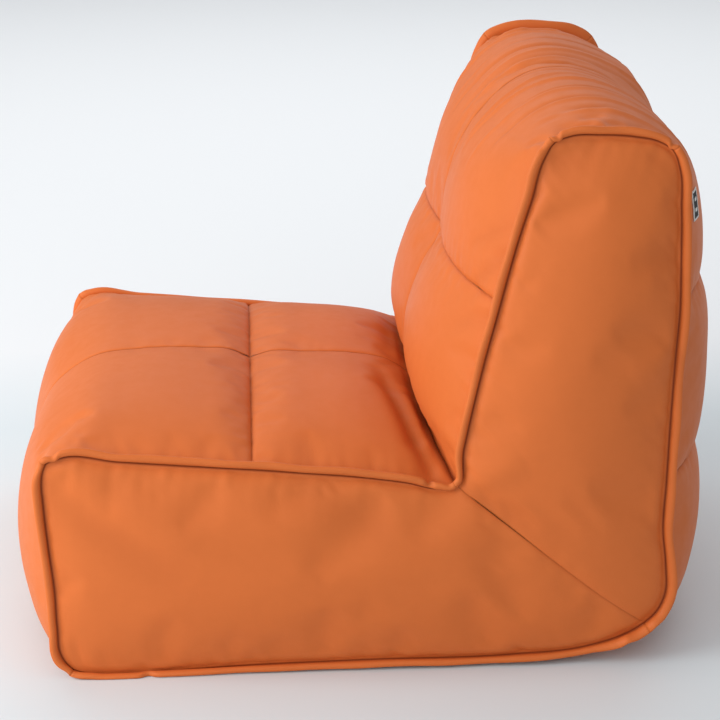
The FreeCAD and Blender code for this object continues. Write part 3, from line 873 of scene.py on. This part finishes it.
def make_flanges(side_name, side):
    ring, starts = seam_ring()
    count = len(ring)
    outward = closed_normals(ring)
    for _ in range(2):
        outward = (np.roll(outward, 1, axis=0) + 2 * outward + np.roll(outward, -1, axis=0)) / 4
        outward /= np.linalg.norm(outward, axis=1, keepdims=True)
    seed = 11 if side > 0 else 23
    whole = np.arange(count * STEPS + 1)
    lean, reach = lean_and_reach(side_name, starts, count, whole / STEPS)
    lean += waver(len(whole), *LEAN_WAVER, seed)
    wave = waver(len(whole), *SIDE_WAVER, seed + 1)
    reach *= 1 + waver(len(whole), *REACH_WAVER, seed + 2)
    for flange, names in FLANGE_SPANS.items():
        begin = starts[names[0]]
        cells = sum(CELLS[name] for name in names)
        at = np.arange(begin, begin + cells + 1) % count
        fine = np.arange(cells * STEPS + 1)
        route = np.concatenate([ring[at], outward[at]], axis=1)
        route = resample(route[:, None].repeat(2, axis=1), fine / STEPS, np.array([0.0]))[:, 0]
        place = (begin * STEPS + fine) % (count * STEPS)
        block = np.column_stack([route, lean[place], wave[place], reach[place]])
        section = FLANGE_SECTION + [(a, -b) for a, b in FLANGE_SECTION[::-1]]
        points, painted_shade = [], []
        for y, z, ny, nz, tilt, shift, out in block:
            for a, b in section:
                # Near the floor the strip bends further out and lies along it.
                room = (z - FLOOR_GAP - FLOOR_ROOM) / (-nz * out) if nz < 0 else 1
                bend = max(tilt, math.acos(min(max(room, 0), 1)))
                high, angle = a * out, bend * min(max(a / ROOT_BEND, 0), 1)
                rise = high * math.cos(angle) - b * math.sin(angle)
                across = b * math.cos(angle) + high * math.sin(angle) + shift * max(a, 0)
                py, pz = y + ny * rise, z + nz * rise
                points.append((side * (SEAM_X + across), py, max(pz, FLOOR_GAP)))
                # Painted shade on the strip's root, on the side that faces the side panel.
                painted_shade.append(min(max(1 - a / DARK_ROOT, 0), 1) if b > 0 else 0)
        index = grid_index(len(block), len(section))
        index = np.concatenate([index, index[:, :1]], axis=1)
        faces = [tuple(f) for f in grid_faces(index)]
        faces.append(tuple(index[0, :-1]))
        faces.append(tuple(index[-1, :-1][::-1]))
        obj = make_object(f"{side_name}_{flange}_seam", points, faces)
        orient_outward(obj)
        for cap in obj.data.polygons[-2:]:
            cap.use_smooth = False
        paint_shade(obj, painted_shade)
        obj.data.materials.append(SEAM_LEATHER)
        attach(obj, "chair")
        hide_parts(f"{side_name}_{flange}_flange")


def orient_outward(obj):
    work = bmesh.new()
    work.from_mesh(obj.data)
    bmesh.ops.recalc_face_normals(work, faces=work.faces)
    work.to_mesh(obj.data)
    work.free()


for side_name, side in SIDES:
    make_flanges(side_name, side)


# ---------------- what is inside the cover
def first_row(name):
    return skin_points[numbers[name]][0]


def divider_grid():
    """The surface between the crease, the heel and the two mitre seams."""
    def across(panel):
        return np.concatenate([first_row(f"right_{panel}")[::-1], first_row(f"left_{panel}")[1:]])

    mitres = first_row("right_side_back"), first_row("left_side_back")
    return coons(across("lower_backrest"), across("base"), *mitres)


def make_inside():
    """A liner and a bead fill behind the cover, on each side of the divider."""
    chambers = {
        "seat": ["base", "front_seat", "rear_seat", "side_seat"],
        "back": ["lower_backrest", "upper_backrest", "rear_middle", "rear_lower", "side_back"],
    }
    layers = (("liner", 0.016, LINER, "liner_fabric"), ("bead_fill", 0.020, BEADS, "foam_beads"))
    for chamber, parts in chambers.items():
        grids = {f"{side_name}_{part}": skin_points[numbers[f"{side_name}_{part}"]]
                 for side_name, _ in SIDES for part in parts}
        grids["divider"] = divider_grid()
        _, points, faces = weld(grids)
        for layer, depth, material, slot_name in layers:
            obj = make_object(f"{chamber}_{layer}_bag", points, faces)
            orient_outward(obj)
            inward = points - depth * read_vectors(obj.data.vertex_normals, "vector")
            inward[:, 2] = np.maximum(inward[:, 2], TAPE_BOTTOM + depth)
            widest = np.maximum(np.abs(points[:, 0]), SEAM_X) - depth
            inward[:, 0] = np.clip(inward[:, 0], -widest, widest)
            obj.data.vertices.foreach_set("co", inward.ravel())
            obj.data.update()
            obj.data.materials.append(material)
            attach(obj, "chair")
            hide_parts(f"{chamber}_{layer}")


make_inside()


def thicken(obj, thickness):
    solid = obj.modifiers.new("thickness", "SOLIDIFY")
    solid.thickness = thickness
    solid.offset = 0


DIVIDER_WIDTH = 0.97  # its share of the width between the side seams


def make_divider():
    grid = divider_grid()
    grid[:, :, 0] *= DIVIDER_WIDTH
    grid = grid[:, 1:-1]
    obj = make_object("divider_sheet", grid.reshape(-1, 3), grid_faces(grid_index(*grid.shape[:2])))
    obj.data.materials.append(LINER)
    thicken(obj, 0.0012)
    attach(obj, "chair")
    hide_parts("divider_baffle")


make_divider()


# ---------------- zip
def make_coil(side_name):
    """One half of a coil zip: a nylon thread wound round and round along the tape's edge."""
    low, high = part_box(f"zip_coil_{side_name}")
    pitch, wire = 0.0020, 0.00036
    around, ring = 8, 5
    radius = (high.z - low.z) / 2 - wire
    turns = int((high.y - low.y - 2 * wire) / pitch)
    centre = Vector(((low.x + high.x) / 2, low.y + wire, (low.z + high.z) / 2))
    points = []
    for step in range(turns * around + 1):
        angle = 2 * math.pi * step / around
        out = Vector((math.cos(angle), 0, math.sin(angle)))
        middle = centre + radius * out + Vector((0, pitch * step / around, 0))
        for spoke in range(ring):
            turn = 2 * math.pi * spoke / ring
            points.append(middle + wire * (out * math.cos(turn) + Vector((0, 1, 0)) * math.sin(turn)))
    index = grid_index(len(points) // ring, ring)
    faces = [tuple(index[0]), tuple(index[-1][::-1])]
    index = np.concatenate([index, index[:, :1]], axis=1)
    faces += [tuple(f) for f in grid_faces(index)]
    obj = make_object(f"zip_coil_{side_name}_winding", points, faces)
    orient_outward(obj)
    obj.data.materials.append(NYLON)
    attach(obj, "chair")
    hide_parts(f"zip_coil_{side_name}")


for side_name, _ in SIDES:
    make_coil(side_name)
for material, nodes in (
        (TAPE, ("zip_tape_left", "zip_tape_right")), (LINER, ("zip_guard",)),
        (METAL, ("zip_slider", "zip_pull", "zip_front_stop", "zip_rear_stop"))):
    for node in nodes:
        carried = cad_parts[node].data.materials
        carried.clear()
        carried.append(material)


# ---------------- label
def label_material():
    """A black woven patch with a pale border and plain bars."""
    material, tree, shader = new_material("label_cloth")
    place = add(tree, "ShaderNodeUVMap", uv_map="patch").outputs[0]
    split = add(tree, "ShaderNodeSeparateXYZ", {0: place})
    across, up = split.outputs[0], split.outputs[1]

    def band(value, low, high):
        above = maths(tree, "GREATER_THAN", value, low)
        return maths(tree, "MULTIPLY", above, maths(tree, "LESS_THAN", value, high))

    core = maths(tree, "MULTIPLY", band(across, .10, .86), band(up, .07, .93))
    bars = maths(tree, "MAXIMUM", band(up, .62, .74), band(up, .26, .38))
    bars = maths(tree, "MULTIPLY", bars, band(across, .30, .70))
    mark = maths(tree, "MAXIMUM", bars, maths(tree, "SUBTRACT", 1.0, core))
    thread = add(tree, "ShaderNodeTexWave", {"Vector": place, "Scale": 26.0}, bands_direction="Y")
    fill(tree, shader, {
        "Base Color": mix_colour(tree, mark, (.012, .012, .013, 1), (.72, .71, .68, 1)),
        "Normal": bump(tree, thread.outputs["Fac"], 0.3, 0.0003).outputs[0],
        "Roughness": 0.8,
    })
    return material


# How far the cover drags the patch to the chair's middle, and down at its foot and head.
LABEL_SHIFT, FOOT_DROP, HEAD_DROP = 0.008, 0.006, 0.013
LABEL_COLUMNS, LABEL_ROWS = 8, 14
LABEL_LIFT = 0.0011  # from the cover to the patch's middle plane
REAR_Y = 0.36  # the cover behind this is its rear
NEIGHBOURS = 6  # the cover's points that each of the patch's points rests on


def make_label():
    low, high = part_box("woven_label")
    first, last = low.x - LABEL_SHIFT, high.x - LABEL_SHIFT
    foot, head = low.z - FOOT_DROP, high.z - HEAD_DROP
    grid = panels["left_upper_backrest"]
    surface = grid[grid.shape[0] // 2:].reshape(-1, 3)
    surface = surface[surface[:, 1] > REAR_Y]
    points, flat = [], []
    for i in range(LABEL_ROWS + 1):
        for j in range(LABEL_COLUMNS + 1):
            x = first + (last - first) * j / LABEL_COLUMNS
            z = foot + (head - foot) * i / LABEL_ROWS
            away = (surface[:, 0] - x) ** 2 + (surface[:, 2] - z) ** 2
            near = np.argsort(away)[:NEIGHBOURS]
            weight = 1 / (away[near] + 1e-7)
            y = float((surface[near, 1] * weight).sum() / weight.sum())
            points.append((x, y + LABEL_LIFT, z))
            flat.append((1 - j / LABEL_COLUMNS, i / LABEL_ROWS))
    index = grid_index(LABEL_ROWS + 1, LABEL_COLUMNS + 1)
    obj = make_object("label_patch", points, grid_faces(index)[:, ::-1])
    layer = obj.data.uv_layers.new(name="patch")
    for loop in obj.data.loops:
        layer.data[loop.index].uv = flat[loop.vertex_index]
    thicken(obj, 0.0010)
    obj.data.materials.append(label_material())
    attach(obj, "chair")
    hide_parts("woven_label")


make_label()


# ---------------- stage, light and camera
def make_stage():
    """A pale painted floor that grows lighter behind the chair."""
    material, tree, shader = new_material("floor_paint")
    place = object_place(tree)
    cloud = noise(tree, place, 2.0, 4.0).outputs[0]
    base = mix_colour(tree, cloud, (.69, .765, .80, 1), (.73, .805, .84, 1))
    far = add(tree, "ShaderNodeSeparateXYZ", {0: place}).outputs[0]
    fade = ramp(tree, far, -0.55, -0.95, 0.0, 1.0)
    fill(tree, shader, {
        "Base Color": mix_colour(tree, fade, base, (.84, .86, .88, 1)),
        "Roughness": 0.6,
        "Specular IOR Level": 0.2,
    })
    size = 6.0
    corners = [(-size, -size, 0), (size, -size, 0), (size, size, 0), (-size, size, 0)]
    floor = make_object("floor", corners, [(0, 1, 2, 3)], smooth=False)
    floor.data.materials.append(material)


def area_light(name, place, target, size, power, colour=(1, 1, 1)):
    light = bpy.data.lights.new(name, "AREA")
    light.shape = "RECTANGLE"
    light.size, light.size_y = size
    light.energy = power
    light.color = colour
    obj = bpy.data.objects.new(name, light)
    obj.location = place
    obj.rotation_euler = (Vector(target) - Vector(place)).to_track_quat("-Z", "Y").to_euler()
    bpy.context.scene.collection.objects.link(obj)


CAMERA_PLACE = (2.67, -0.1485, 1.273)
CAMERA_PITCH, CAMERA_YAW = math.radians(19.80), math.radians(3.42)


def make_camera():
    camera = bpy.data.cameras.new("camera")
    camera.lens = 100
    camera.sensor_width = 36
    camera.clip_end = 50
    obj = bpy.data.objects.new("camera", camera)
    obj.location = CAMERA_PLACE
    level = math.cos(CAMERA_PITCH)
    ahead = (-math.cos(CAMERA_YAW) * level, math.sin(CAMERA_YAW) * level, -math.sin(CAMERA_PITCH))
    obj.rotation_euler = Vector(ahead).to_track_quat("-Z", "Y").to_euler()
    bpy.context.scene.collection.objects.link(obj)
    bpy.context.scene.camera = obj


make_stage()
area_light("window", (1.1, -2.7, 1.5), (0, 0, .3), (2.2, 1.8), 77, (1.0, .985, .97))
area_light("room", (3.4, -1.2, 1.5), (0, 0, .3), (3.0, 2.0), 24)
area_light("ceiling", (0.2, 0.0, 3.0), (0, 0, .2), (3.0, 3.0), 4)
area_light("backdrop", (-3.2, 0.0, 2.6), (-3.2, 0, 0), (4.0, 6.0), 74)
world = bpy.data.worlds.new("world")
world.use_nodes = True
fill(world.node_tree, world.node_tree.nodes["Background"], {0: (0.965, 0.98, 1.0, 1), 1: 0.50})
bpy.context.scene.world = world
bpy.context.scene.view_settings.view_transform = "Standard"
make_camera()
